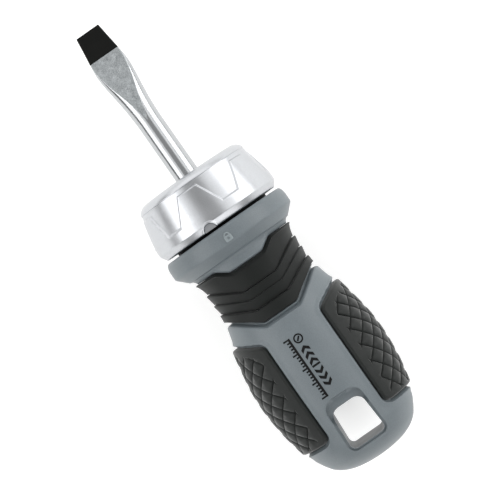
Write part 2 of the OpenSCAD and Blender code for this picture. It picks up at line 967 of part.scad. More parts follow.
// One layer of the neck, which tapers from its lip to the next
module neck_layer(i) {
    lip = neck_front + neck_len * neck_edge_shares[i][0];
    back = neck_front + neck_len * neck_edge_shares[i + 1][0] + wave_dip + over;
    taper = i == layer_count - 1 ? cuff_taper : lip_taper;
    front_edge_r = i == 0 ? neck_flare_r : lip_r;
    intersection() {
        turned([
            [lip - over, 0],
            [lip - over, front_edge_r],
            [lip, front_edge_r],
            if (i == 0) [lip + flare_len, lip_r - taper * flare_len],
            [back, lip_r - taper * (back - lip)],
            [back, 0]
        ]);
        neck_zone(i, i + 1, i == layer_count - 1 ? 0 : layer_bury);
    }
}

module neck_grip() {
    color("#2c2e30") difference() {
        union() for (i = [0 : layer_count - 1]) neck_layer(i);
        bar(neck_front - over, body_front + wave_dip + over, waist_r + seat_gap);
    }
}

module side_grip() {
    intersection() {
        difference() {
            lens(grip_rise);
            lens(-grip_depth);
        }
        pressed(grip_outline(0), -wide, wide);
    }
}

module grip_left() {
    color("#2c2e30") side_grip();
}

module grip_right() {
    color("#2c2e30") mirror([0, 1, 0]) side_grip();
}

blade();
spindle();
blade_pin();
selector_collar();
cam_disc();
retaining_ring();
bearing_ring();
gear_housing();
front_plate();
plate_screws();
pawl_left();
pawl_right();
pawl_pin_left();
pawl_pin_right();
pawl_spring_left();
pawl_spring_right();
click_spring();
thrust_washer();
rear_bush();
spindle_clip();
handle_core();
neck_grip();
grip_left();
grip_right();
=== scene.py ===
# Stubby ratcheting screwdriver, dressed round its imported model.
# Pieces are modelled in millimetres, tip towards +X and front face up, and scaled to metres at the end.
# A depth is a distance from the collar's front face back towards the butt, so it runs along -X.
# An angle goes round the shaft from the front face, and is positive towards -Y.
import json
import math
import bmesh
import bpy
from mathutils import Matrix, Vector


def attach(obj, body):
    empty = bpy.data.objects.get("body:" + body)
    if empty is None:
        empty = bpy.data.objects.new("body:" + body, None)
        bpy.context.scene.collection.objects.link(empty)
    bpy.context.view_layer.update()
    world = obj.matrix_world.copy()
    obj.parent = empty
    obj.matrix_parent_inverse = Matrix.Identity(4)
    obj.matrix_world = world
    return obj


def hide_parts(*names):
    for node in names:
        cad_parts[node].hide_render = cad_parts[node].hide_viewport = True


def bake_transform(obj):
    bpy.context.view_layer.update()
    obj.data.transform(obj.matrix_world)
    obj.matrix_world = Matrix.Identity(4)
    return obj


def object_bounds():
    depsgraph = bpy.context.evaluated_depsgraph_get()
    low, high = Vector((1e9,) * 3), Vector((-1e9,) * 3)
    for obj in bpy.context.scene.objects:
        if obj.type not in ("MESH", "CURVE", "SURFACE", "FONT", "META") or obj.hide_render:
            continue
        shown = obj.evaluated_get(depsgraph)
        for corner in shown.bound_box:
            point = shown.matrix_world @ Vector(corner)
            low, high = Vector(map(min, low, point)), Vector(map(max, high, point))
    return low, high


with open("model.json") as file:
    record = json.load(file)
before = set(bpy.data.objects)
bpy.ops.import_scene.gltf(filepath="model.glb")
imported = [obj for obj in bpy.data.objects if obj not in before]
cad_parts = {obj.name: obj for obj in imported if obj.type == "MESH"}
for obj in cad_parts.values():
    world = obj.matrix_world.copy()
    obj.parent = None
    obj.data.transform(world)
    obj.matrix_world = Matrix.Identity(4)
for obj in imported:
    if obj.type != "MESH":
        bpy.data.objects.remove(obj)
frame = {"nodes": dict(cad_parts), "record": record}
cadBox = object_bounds()
mm = 0.001
print("frame loaded")


# Small helpers

def mixed(a, b, t):
    return a + (b - a) * t


def ramp(low, high, value):
    t = min(1, max(0, (value - low) / (high - low)))
    return t * t * (3 - 2 * t)


def quarterRound(distance, radius):  # how far a rounded edge has dropped, at a distance inside it
    if distance >= radius:
        return 0
    return radius - math.sqrt(max(0, radius ** 2 - (radius - max(0, distance)) ** 2))


def polar(point):
    return -point.x, math.atan2(-point.y, point.z), math.hypot(point.y, point.z)


def fromPolar(depth, angle, radius):
    return Vector((-depth, -radius * math.sin(angle), radius * math.cos(angle)))


def smoothCurve(points, spacing):  # a curve through chosen points, cut into steps of one length
    last = len(points) - 1
    cuts = 24
    fine = []
    for i in range(last):
        p, q, r, s = (Vector(points[min(last, max(0, i + k))]) for k in (-1, 0, 1, 2))
        for step in range(cuts):
            t = step / cuts
            fine.append((2 * q + (r - p) * t + (2 * p - 5 * q + 4 * r - s) * t ** 2
                         + (3 * q - p - 3 * r + s) * t ** 3) / 2)
    fine.append(Vector(points[last]))
    curve = [fine[0]]
    run = 0
    for a, b in zip(fine, fine[1:]):
        run += (b - a).length
        if run >= spacing:
            curve.append(b)
            run = 0
    if (curve[-1] - fine[-1]).length < spacing / 2:
        curve.pop()
    return curve + [fine[-1]]


def valueAt(curve, place):  # second value of a curve at a place along its first
    for a, b in zip(curve, curve[1:]):
        if place <= b[0]:
            share = (place - a[0]) / max(1e-6, b[0] - a[0])
            return mixed(a[1], b[1], min(1, max(0, share)))
    return curve[-1][1]


def vertsOf(geometry):
    return [g for g in geometry if isinstance(g, bmesh.types.BMVert)]


# turns a row of (depth, radius) points round the shaft, and keeps each vertex's row number
def spinProfile(profile, steps, closed=False):
    bm = bmesh.new()
    row = bm.verts.layers.int.new("row")
    verts = [bm.verts.new((-depth, 0, radius)) for depth, radius in profile]
    for i, v in enumerate(verts):
        v[row] = i
    edges = [bm.edges.new(pair) for pair in zip(verts, verts[1:] + verts[:1] if closed else verts[1:])]
    sectors = 20
    bmesh.ops.spin(bm, geom=verts + edges, cent=(0, 0, 0), axis=(1, 0, 0), angle=math.tau / sectors,
                   steps=steps // sectors)
    sector = bm.verts[:] + bm.edges[:] + bm.faces[:]
    for i in range(1, sectors):
        copied = vertsOf(bmesh.ops.duplicate(bm, geom=sector)["geom"])
        turn = Matrix.Rotation(math.tau * i / sectors, 3, "X")
        bmesh.ops.rotate(bm, verts=copied, cent=(0, 0, 0), matrix=turn)
    bmesh.ops.remove_doubles(bm, verts=bm.verts, dist=1e-3)
    return bm, row


def roundedOutline(corners, steps=5):  # (depth, y, corner radius) corners, with their arcs
    points = []
    for i, (x, y, radius) in enumerate(corners):
        here = Vector((x, y))
        if not radius:
            points.append(here)
            continue
        u = (Vector(corners[i - 1][:2]) - here).normalized()
        v = (Vector(corners[(i + 1) % len(corners)][:2]) - here).normalized()
        half = u.angle(v) / 2
        centre = here + (u + v).normalized() * radius / math.sin(half)
        start = (here + u * radius / math.tan(half) - centre).normalized()
        end = (here + v * radius / math.tan(half) - centre).normalized()
        points += [centre + start.slerp(end, step / steps) * radius for step in range(steps + 1)]
    return points


def outlineDistance(outline, depth, y):  # negative inside
    best = math.inf
    inside = False
    ax, ay = outline[-1]
    for bx, by in outline:
        alongX, alongY = bx - ax, by - ay
        length = alongX * alongX + alongY * alongY
        if length > 1e-9:
            t = min(1, max(0, ((depth - ax) * alongX + (y - ay) * alongY) / length))
            best = min(best, (depth - ax - alongX * t) ** 2 + (y - ay - alongY * t) ** 2)
        if (ay > y) != (by > y) and depth < alongX * (y - ay) / alongY + ax:
            inside = not inside
        ax, ay = bx, by
    return -math.sqrt(best) if inside else math.sqrt(best)


def flatCentre(face):
    centre = face.calc_center_median()
    return -centre.x, centre.y


# cuts the faces near an outline straight through along Z, or only those on the front side
def cutAlong(bm, outline, reach, frontOnly=False):
    low = min(p.x for p in outline) - reach
    high = max(p.x for p in outline) + reach
    left = max(p.y for p in outline) + reach
    right = min(p.y for p in outline) - reach
    pool = {f: flatCentre(f) for f in bm.faces if not frontOnly or f.verts[0].co.z > 0}
    pool = {f: c for f, c in pool.items() if low < c[0] < high and right < c[1] < left}
    for a, b in zip(outline, outline[1:] + outline[:1]):
        length = (b - a).length
        if length < 1e-6:
            continue
        x, y = (b - a) / length
        near = []
        for f, (depth, across) in pool.items():
            depth, across = depth - a.x, across - a.y
            if -reach < depth * x + across * y < length + reach and abs(depth * y - across * x) < reach:
                near.append(f)
        parts = {v for f in near for v in f.verts} | {e for f in near for e in f.edges}
        made = bmesh.ops.bisect_plane(bm, geom=list(parts) + near, dist=1e-3, plane_co=(-a.x, a.y, 0),
                                      plane_no=(y, x, 0))["geom"]
        pool.update({g: flatCentre(g) for g in made if isinstance(g, bmesh.types.BMFace)})


# the faces inside an outline, between two depths and further out than a radius
def facesInside(bm, outline, low, high, radius):
    found = []
    for f in bm.faces:
        centre = f.calc_center_median()
        if low < -centre.x < high and math.hypot(centre.y, centre.z) > radius:
            if outlineDistance(outline, -centre.x, centre.y) < 0:
                found.append(f)
    return found


def finishPiece(bm, name, body, materials, replaced, sharp):
    bmesh.ops.recalc_face_normals(bm, faces=bm.faces)
    bmesh.ops.scale(bm, vec=(mm, mm, mm), verts=bm.verts)
    mesh = bpy.data.meshes.new(name)
    bm.to_mesh(mesh)
    bm.free()
    mesh.shade_smooth()
    mesh.set_sharp_from_angle(angle=math.radians(sharp))
    for material in materials:
        mesh.materials.append(material)
    piece = bpy.data.objects.new(name, mesh)
    bpy.context.scene.collection.objects.link(piece)
    if body:
        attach(piece, body)
    if replaced:
        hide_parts(*replaced)
    print(name, len(mesh.polygons), "faces")
    return piece


# Materials

def linear(hexColour):
    channels = [int(hexColour[i:i + 2], 16) / 255 for i in (1, 3, 5)]
    return [c / 12.92 if c <= 0.04045 else ((c + 0.055) / 1.055) ** 2.4 for c in channels] + [1]


def addNode(tree, kind, settings, links=()):
    node = tree.nodes.new(kind)
    for key, value in settings.items():
        if isinstance(key, int) or key in node.inputs:
            node.inputs[key].default_value = value
        else:
            setattr(node, key, value)
    for key, source, output in links:
        tree.links.new(source.outputs[output], node.inputs[key])
    return node


def newMaterial(name):
    material = bpy.data.materials.new(name)
    material.use_nodes = True
    material.node_tree.nodes.clear()
    return material, material.node_tree


def grain(tree, coordinates, size, detail):  # noise whose bumps are about size mm across
    settings = {"Scale": 1 / (size * mm), "Detail": detail, "Roughness": 0.6}
    return addNode(tree, "ShaderNodeTexNoise", settings, [("Vector", coordinates, "Object")])


def colourRamp(tree, source, output, stops):
    node = addNode(tree, "ShaderNodeValToRGB", {}, [("Fac", source, output)])
    elements = node.color_ramp.elements
    while len(elements) < len(stops):
        elements.new(0.5)
    for element, (place, colour) in zip(elements, stops):
        element.position = place
        element.color = colour
    return node


def grey(value):
    return [value, value, value, 1]


# soft patches between a dark and a light tone, a roughness that follows them, and a fine bump;
# the sizes of grain and patches and the height of the bump are in mm
def surface(name, colours, metallic, roughness, grainSize, bump, patchSize=6, extra=None):
    material, tree = newMaterial(name)
    coordinates = addNode(tree, "ShaderNodeTexCoord", {})
    patches = grain(tree, coordinates, patchSize, 3)
    fine = grain(tree, coordinates, grainSize, 2)
    both = addNode(tree, "ShaderNodeMath", {"operation": "MULTIPLY_ADD", 1: 0.5},
                   [(0, patches, "Fac"), (2, fine, "Fac")])
    tone = colourRamp(tree, both, 0, [(0.45, linear(colours[0])), (1, linear(colours[1]))])
    rough = addNode(tree, "ShaderNodeMapRange", {"From Min": 0.3, "From Max": 0.7,
                                                 "To Min": roughness[0], "To Max": roughness[1]},
                    [("Value", patches, "Fac")])
    height = addNode(tree, "ShaderNodeBump", {"Strength": 1, "Distance": bump * mm},
                     [("Height", fine, "Fac")])
    shader = addNode(tree, "ShaderNodeBsdfPrincipled", {"Metallic": metallic, **(extra or {})},
                     [("Base Color", tone, "Color"), ("Roughness", rough, "Result"),
                      ("Normal", height, "Normal")])
    addNode(tree, "ShaderNodeOutputMaterial", {}, [("Surface", shader, "BSDF")])
    return material


# spark-eroded moulded plastic: an even satin blue-grey with a fine matt texture
mouldedGrey = surface("moulded_grey_plastic", ("#5f676b", "#6c7478"), 0, (0.36, 0.46), 0.22, 0.006,
                      extra={"IOR": 1.5})
# moulded thermoplastic rubber: charcoal and matt, with a faint sheen
mouldedRubber = surface("moulded_soft_rubber", ("#0a0d0c", "#111513"), 0, (0.52, 0.62), 0.2, 0.01,
                        extra={"IOR": 1.5, "Specular IOR Level": 0.25, "Sheen Weight": 0.12,
                               "Sheen Roughness": 0.4})
# the same rubber on the side grips, with a paler base colour that is painted light for the stronger side
# light on them, and a stronger sheen that looks dustier at a slant
gripRubberPaintedLight = surface("soft_rubber_painted_side_light", ("#101312", "#191d1b"), 0, (0.52, 0.62), 0.2, 0.01,
                         extra={"IOR": 1.5, "Specular IOR Level": 0.26, "Sheen Weight": 0.34,
                                "Sheen Roughness": 0.4})
# satin chrome plate: tumbled before plating, so reflections are soft and very pale
satinChrome = surface("satin_chrome_plate", ("#bcbec1", "#c6c8cb"), 1, (0.27, 0.33), 0.3, 0.001)
# polished chrome plate on the round shank: mirror-like, with faint polishing haze
polishedChrome = surface("polished_chrome_plate", ("#b0b2b4", "#babcbe"), 1, (0.15, 0.2), 0.3, 0.0005)
# chrome plate over a sand-blasted flat: grey, and grainy on a coarser scale than real, so that it shows
blastedChrome = surface("blasted_chrome_plate", ("#84898b", "#c2c6c8"), 1, (0.42, 0.58), 0.24, 0.03, 1.2)
# black oxide on the hardened tip: matt, nearly black
blackOxide = surface("black_oxide_steel", ("#070807", "#0d0e0c"), 0, (0.5, 0.6), 0.25, 0.006, 2,
                     {"Specular IOR Level": 0.14})
# black nylon ring: moulded and matt, its colour darker than nylon is, as painted shade for the gap it sits in
blackNylonGapShade = surface("black_nylon_gap_shade", ("#020202", "#040404"), 0, (0.55, 0.65), 0.3, 0.004, 6,
                     {"Specular IOR Level": 0.1})
# hardened ratchet steel: dark from the oil bath, with a film of oil
ratchetSteel = surface("oiled_ratchet_steel", ("#5a5b5c", "#77787a"), 1, (0.25, 0.4), 0.4, 0.004, 3)
# drawn spring steel: clean and grey, finely drawn
springSteel = surface("drawn_spring_steel", ("#8e9296", "#a9adb1"), 1, (0.22, 0.32), 0.15, 0.002, 2)
# sintered bronze: matt, with open pores
sinteredBronze = surface("sintered_bronze", ("#6f5330", "#a9834b"), 1, (0.45, 0.6), 0.12, 0.01, 1.5)
# pad-printed ink: dull black film
printInk = surface("pad_printed_ink", ("#050505", "#080808"), 0, (0.5, 0.6), 0.2, 0.002,
                   extra={"Specular IOR Level": 0.2})
# the padlock mark, a grey paler than the wall round it
markGrey = surface("pale_mark_plastic", ("#7c8587", "#889194"), 0, (0.4, 0.5), 0.2, 0.004)

slotMaterials = {
    "blade_chrome": polishedChrome, "collar_chrome": satinChrome, "ratchet_steel": ratchetSteel,
    "spring_steel": springSteel, "bearing_bronze": sinteredBronze, "ring_nylon": blackNylonGapShade,
    "core_plastic": mouldedGrey, "grip_rubber": mouldedRubber,
}
for subpart in frame["record"]["subparts"]:
    node = frame["nodes"][subpart["node"]]
    node.data.materials.clear()
    node.data.materials.append(slotMaterials[subpart["material_slot"]])
print("materials made")


# Blade: forged tip with two blasted flats on a polished round shank

blade = {
    "reach": 40.8, "blackLen": 6.85, "shankRadius": 3.0, "hidden": 14.7,
    "tangStart": 0.1, "tangLen": 7, "tangFlats": 5,
    "flatCuts": 10, "sideCuts": 22, "ringStep": 0.6, "shankRings": (25.4, 27, 30, 34, 38, 42, 48),
    # edges sharper than this, in radians, are rounded as far back as ridgeReach
    "ridgeAngle": 0.35, "ridgeReach": 21, "edgeBevel": 0.13,
    # distance from the tip, half width, half thickness, half width of the flat
    "stations": (
        (0, 3.1, 0.5, 2.98), (3.4, 3.5, 0.62, 3.36), (6.85, 3.95, 0.75, 3.78), (8.4, 4.13, 0.85, 3.9),
        (10, 4.25, 1.0, 3.79), (11.7, 4.2, 1.25, 3.5), (13.9, 4.0, 1.65, 3.0), (15.7, 3.78, 2.0, 2.5),
        (17.4, 3.57, 2.3, 1.98), (19.1, 3.38, 2.55, 1.5), (21, 3.21, 2.76, 1.02), (23.2, 3.08, 2.93, 0.5),
        (25.1, 3.0, 3.0, 0.02),
    ),
}


def bladeRing(halfWidth, halfThick, halfFlat):  # two flats joined by round sides
    bulge = halfThick / math.sqrt(1 - (halfFlat / halfWidth) ** 2)
    corner = math.asin(min(1, halfThick / bulge))
    ring = []
    for side in (1, -1):
        for i in range(blade["flatCuts"]):
            ring.append((side * mixed(halfFlat, -halfFlat, i / blade["flatCuts"]), side * halfThick))
        for i in range(blade["sideCuts"]):
            a = mixed(corner, -corner, i / blade["sideCuts"])
            ring.append((-side * halfWidth * math.cos(a), side * bulge * math.sin(a)))
    return ring


def makeBlade():
    columns = [[(s[0], s[k]) for s in blade["stations"]] for k in (1, 2, 3)]
    curves = [smoothCurve(c, 0.05) for c in columns]
    flatEnd = blade["stations"][-1][0]
    cuts = int(flatEnd / blade["ringStep"]) + 1
    places = sorted({s[0] for s in blade["stations"]} | {i * blade["ringStep"] for i in range(cuts)})
    rings = [(place, bladeRing(*(valueAt(curve, place) for curve in curves))) for place in places]
    shankRing = bladeRing(blade["shankRadius"], blade["shankRadius"], 0)
    end = blade["reach"] + blade["hidden"]
    rings += [(place, shankRing) for place in (*blade["shankRings"], end)]
    hexRing = []
    for y, z in shankRing:
        a = math.atan2(z, y)
        apart = (a + math.pi / 6) % (math.pi / 3) - math.pi / 6
        radius = blade["tangFlats"] / 2 / math.cos(apart)
        hexRing.append((radius * math.cos(a), radius * math.sin(a)))
    rings += [(end + blade["tangStart"], hexRing), (end + blade["tangLen"], hexRing)]
    bm = bmesh.new()
    start = bmesh.ops.create_circle(bm, segments=len(rings[0][1]), radius=1)["verts"]
    loop = list(start)
    edges = list(bm.edges)
    for i, (place, ring) in enumerate(rings):
        if i:
            out = bmesh.ops.extrude_edge_only(bm, edges=edges)["geom"]
            made = vertsOf(out)
            edges = [g for g in out if isinstance(g, bmesh.types.BMEdge) and all(v in made for v in g.verts)]
            follows = {}
            for e in bm.edges:
                a, b = e.verts
                if (a in made) != (b in made):
                    new, old = (a, b) if a in made else (b, a)
                    if old in loop:
                        follows[old] = new
            loop = [follows[v] for v in loop]
        for v, (y, z) in zip(loop, ring):
            v.co = (blade["reach"] - place, y, z)
    bmesh.ops.holes_fill(bm, edges=[e for e in bm.edges if e.is_boundary], sides=0)
    bmesh.ops.remove_doubles(bm, verts=bm.verts, dist=0.03)
    bmesh.ops.recalc_face_normals(bm, faces=bm.faces)
    ridges = [e for e in bm.edges if len(e.link_faces) == 2 and e.calc_face_angle() > blade["ridgeAngle"]
              and e.verts[0].co.x > blade["reach"] - blade["ridgeReach"]]
    bmesh.ops.bevel(bm, geom=ridges, offset=blade["edgeBevel"], affect="EDGES", segments=2, profile=0.5,
                    material=-1, clamp_overlap=True)
    polished, blasted, black = range(3)  # the finishes, in the order in which the piece gets them
    for f in bm.faces:
        centre = f.calc_center_median()
        if centre.x > blade["reach"] - blade["blackLen"]:
            f.material_index = black
        elif abs(f.normal.z) > 0.9 and centre.x > blade["reach"] - flatEnd:
            low = min(abs(v.co.z) for v in f.verts)
            wide = max(abs(v.co.y) for v in f.verts)
            limit = valueAt(curves[2], blade["reach"] - centre.x)
            f.material_index = blasted if wide < limit + 0.1 and low > 0.3 else polished
    finishPiece(bm, "blade_forging", "driver", [polishedChrome, blastedChrome, blackOxide],
                ["blade"], 28)


makeBlade()


# Collar: turned ring with six raised fields, a rounded rim and a pointer notch

collar = {
    "radius": 16.1, "length": 13.6, "bore": 6.0, "cavity": 13.15, "wall": 2.4, "columns": 720,
    "faceRecess": 1.5, "faceRecessRadius": 8.3, "faceEdge": 0.15, "faceFlat": 10.2, "frontRadius": 12.55,
    "rimDeep": 1.71, "rimBulge": 0.84, "rimCuts": 12, "rimBack": 1.86, "rimRadius": 14.42,
    # the ground between the fields widens from its front to its back; angles are in degrees
    "recessFront": 14.28, "recessBack": 15.58, "recessStart": 1.9, "relief": 0.42,
    "fields": 6, "fieldFront": 3.0, "bandFront": 9.4, "fieldTop": 10, "fieldBase": 22, "turn": 7.5,
    # width of the bevel at a field's sides, and how far ahead of and behind their fronts the fields and
    # the band slope up
    "bevel": 1.5, "fieldAhead": 0.14, "bandAhead": 0.1, "slopeBehind": 0.2,
    "chamferStart": 12.0, "chamfer": 1.0, "chamferInset": 0.03, "backFlat": 14.2,
    "pointerY": 2.27, "pointerRadius": 1.5, "pointerRing": 0.66, "pointerRise": 0.16,
    "pointerSlopes": (0.14, 0.16),  # inner and outer slope of the lip
    "pointerFloor": 14.45, "pointerWall": 0.08, "pointerCuts": 18, "pointerHalfTurn": 95,
}


def cutNotch(bm):  # half-round pointer recess with a raised lip, at the collar's rear edge
    c = collar
    centre = Vector((c["length"], c["pointerY"]))
    inner, outer = c["pointerRadius"], c["pointerRadius"] + c["pointerRing"]
    inSlope, outSlope = c["pointerSlopes"]
    rises = [(inner, 0), (inner + inSlope, c["pointerRise"]), (outer - outSlope, c["pointerRise"]),
             (outer, 0)]
    half, cuts, reach = math.radians(c["pointerHalfTurn"]), c["pointerCuts"], 0.5
    angles = [mixed(-half, half, i / cuts) - math.pi for i in range(cuts + 1)]
    for radius in [inner - c["pointerWall"]] + [r[0] for r in rises]:
        arc = [centre + Vector((math.cos(a), math.sin(a))) * radius for a in angles]
        cutAlong(bm, arc, reach, True)
    for v in bm.verts:
        depth, angle, radius = polar(v.co)
        away = (Vector((depth, v.co.y)) - centre).length
        if v.co.z > 0 and radius > c["pointerFloor"] + 0.1 and away < outer:
            if away < inner - c["pointerWall"] / 2:
                v.co.z = c["pointerFloor"]
            else:
                v.co = fromPolar(depth, angle, radius + valueAt(rises, away))


def makeCollar():
    c = collar
    rows = [(c["faceRecess"], c["bore"]), (c["faceRecess"], c["faceRecessRadius"]),
            (c["faceEdge"], c["faceRecessRadius"]), (0, c["faceRecessRadius"] + c["faceEdge"]),
            (0, c["faceFlat"])]
    for i in range(c["rimCuts"] + 1):
        k = (1 - math.cos(math.pi * i / c["rimCuts"])) / 2
        bulge = c["rimBulge"] * k * (1 - k)
        rows.append((c["rimDeep"] * k - bulge, mixed(c["frontRadius"], c["rimRadius"], k) + bulge))
    rows += [(c["rimBack"] - 0.1, c["rimRadius"]), (c["rimBack"] - 0.04, c["rimRadius"] - 0.06),
             (c["rimBack"], c["recessFront"])]
    # the skin has close rows where the fields and the band begin, and wide ones between
    skin = [2.1, 2.4, 2.7, 2.88, 3.0, 3.12, 3.25] + [mixed(3.45, 9.1, i / 14) for i in range(15)]
    skin += [9.28, 9.4, 9.52, 9.66, 9.9] + [mixed(10.1, c["chamferStart"], i / 8) for i in range(9)]
    skin += [mixed(c["chamferStart"], c["length"] - 0.08, i / 9) for i in range(1, 10)]
    first = len(rows)
    rows += [(depth, c["radius"]) for depth in skin]
    last = len(rows)
    rows += [(c["length"], c["radius"] - c["chamfer"] - 0.1), (c["length"], c["backFlat"]),
             (c["length"], c["cavity"] + 0.1), (c["length"] - 0.1, c["cavity"]), (c["wall"], c["cavity"]),
             (c["wall"], c["bore"])]
    bm, row = spinProfile(rows, c["columns"], True)
    halfBevel = c["bevel"] / 2
    sectorTurn = 360 / c["fields"]
    for v in bm.verts:
        i = v[row]
        depth, angle, radius = polar(v.co)
        if first <= i < last:
            degrees = math.degrees(angle)
            sector = round((degrees + c["turn"]) / sectorTurn)
            q = degrees + c["turn"] - sectorTurn * sector
            share = (depth - c["fieldFront"]) / (c["bandFront"] - c["fieldFront"])
            half = mixed(c["fieldTop"], c["fieldBase"], min(1, max(0, share)))
            # the mesh's columns at 14, 15 and 16 degrees move to the field's bevelled edge
            knots = [(0, 0), (14, half - halfBevel), (15, half), (16, half + halfBevel),
                     (sectorTurn / 2, sectorTurn / 2)]
            moved = math.copysign(valueAt(knots, abs(q)), q)
            angle = math.radians(moved - c["turn"] + sectorTurn * sector)
            field = min(ramp(half + halfBevel, half - halfBevel, abs(moved)),
                        ramp(c["fieldFront"] - c["fieldAhead"], c["fieldFront"] + c["slopeBehind"], depth))
            high = max(field, ramp(c["bandFront"] - c["bandAhead"], c["bandFront"] + c["slopeBehind"], depth))
            share = (depth - c["recessStart"]) / (c["bandFront"] - c["recessStart"])
            low = mixed(c["recessFront"], c["recessBack"], share)
            radius = min(mixed(low, low + c["relief"], high), c["radius"])
            if depth > c["chamferStart"]:
                t = (depth - c["chamferStart"]) / (c["length"] - c["chamferStart"])
                radius = c["radius"] - c["chamfer"] * t - c["chamferInset"]
        v.co = fromPolar(depth, angle, radius)
    cutNotch(bm)
    finishPiece(bm, "collar_ring", "selector", [satinChrome], ["selector_collar"], 40)


makeCollar()


# Neck: the wavy edges that the handle's core and the rubber sleeve share

neck = {
    "front": 22.1, "back": 32.9, "lipRadius": 12.55,
    # half width of the straight middle, and how far its corners are softened
    "flatHalf": 4.6, "soft": 0.35,
    # place at the sides, dip in the middle, half width at which the slope starts
    "edges": ((0, 2.05, 7.8), (3.4, 4.15, 12.2), (6.2, 3.65, 12.2), (8.95, 3.6, 12.2), (10.8, 5.0, 12.2)),
}


def neckEdge(i, angle):  # depth of the edge with this number, at an angle
    start, dip, slopeHalf = neck["edges"][i]
    y = abs(neck["lipRadius"] * math.sin(angle))
    level = 0
    spread = (-1, -0.5, 0, 0.5, 1)
    for k in spread:
        t = (y + k * neck["soft"] - neck["flatHalf"]) / (slopeHalf - neck["flatHalf"])
        level += 1 - min(1, max(0, t))
    return neck["front"] + start + dip * level / len(spread)


# Handle core: moulded shoulder, waist, body, hang hole and butt

core = {
    "front": 14.3, "bore": 7.65, "boreBack": 33.15, "waist": 10.6, "drawIn": 1.05, "columns": 300,
    "shoulderBack": 21.2, "tongueStart": 21.6, "tongueRound": 1.05,
    "sideRoll": 0.75,  # how much less round the tongue's edge is at the sides
    "rimLen": 1.15, "rimDrop": 1.05, "bodyRound": 0.5,
    # behind the rim, the rows follow its wave less and less, for this distance and at this power
    "settle": 9, "settlePower": 1.3,
    # drop of the rim below the body, from the sleeve back: a fine bead and a groove
    "rim": ((0, 0.95), (0.12, 0.7), (0.28, 0.6), (0.46, 0.7), (0.64, 1.05), (0.8, 1.4), (0.95, 1.45),
            (1.15, 1.3)),
    # depth and radius of the shoulder, its cone and its tongue
    "shoulder": ((14.3, 15.4), (14.36, 15.62), (14.75, 15.95), (15.4, 16.2), (16.3, 16.3), (18.2, 16.3),
                 (18.45, 16.22), (18.68, 16.03), (20.75, 13.93), (20.88, 13.76), (20.98, 13.3), (21.2, 13.05),
                 (21.5, 12.82), (21.8, 12.7), (22.3, 12.62), (26, 12.62)),
    # depth and half width of the body, seen from the front
    "body": ((32.9, 12.5), (34.8, 12.9), (37.3, 13.56), (38.9, 14.0), (41.5, 14.6), (44.8, 15.2),
             (48.2, 15.8), (51, 16.1), (54.1, 16.2), (56.4, 16.17), (58.7, 16.0), (62.4, 15.6), (65.7, 15),
             (68.5, 14.4), (70.4, 14), (71.7, 13.6), (73.1, 12.86), (74.5, 11.99), (75.5, 11.2), (76.5, 10),
             (77.3, 8.55), (77.95, 6.75), (78.4, 4.5), (78.63, 2.3), (78.7, 0)),
}
grip = {
    "front": 39.3, "back": 68.9, "inner": 8.1, "slant": 3.1, "shoulderHalf": 14.4, "round": 1.8,
    "far": 18,  # half width well outside the handle
    "rise": 0.8, "bury": 1.4, "gap": 0.22, "bevelWidth": 0.62, "bevelDrop": 0.6,
    "bead": 0.2, "beadStart": 0.2, "beadEnd": 1.7,
    # points this far before and behind the pocket, and outside this half width, can be on its bevel
    "margin": 3, "leastHalf": 5,
}
hole = {
    "front": 63.4, "back": 73.65, "topHalf": 4.1, "halfWidth": 4.65, "topRound": 2.3, "round": 1.35,
    "lip": 0.6, "lipDrop": 0.5, "margin": 5, "mostHalf": 7,
    "edgeRound": 0.28, "edgeHeight": 0.7,  # the rounded edge is this share of its width high
    "rampLen": 2, "rampRadius": 5.8, "rampDepth": 66.5, "rampHeight": 16.6, "rampEnd": 64.8, "rampFade": 1.6,
}


def gripOutline(grow):
    g = grip
    return roundedOutline([
        (g["front"] - grow, g["far"], 0), (g["front"] - grow, g["shoulderHalf"] - grow, 0.8),
        (g["front"] + g["slant"] - grow, g["inner"] - grow, g["round"]),
        (g["back"] + grow, g["inner"] - grow, g["round"]), (g["back"] + grow, g["far"], 0)])


def holeOutline(grow, further=0):
    h = hole
    front, back = h["front"] - grow - further, h["back"] + grow
    top, wide = h["topHalf"] + grow, h["halfWidth"] + grow
    topRound, backRound = h["topRound"] + grow, h["round"] + grow
    return roundedOutline([(front, top, topRound), (back, wide, backRound),
                           (back, -wide, backRound), (front, -top, topRound)])


bodyCurve = smoothCurve(core["body"], 0.36)
shoulderCurve = [Vector(p) for p in core["shoulder"]]


def lens(half, angle):  # radius of the body at an angle, where it is this wide
    c = abs(math.cos(angle)) * core["drawIn"]
    return math.sqrt(half ** 2 + c ** 2) - c


def bodyRadius(depth, angle):
    return lens(valueAt(bodyCurve, depth), angle)


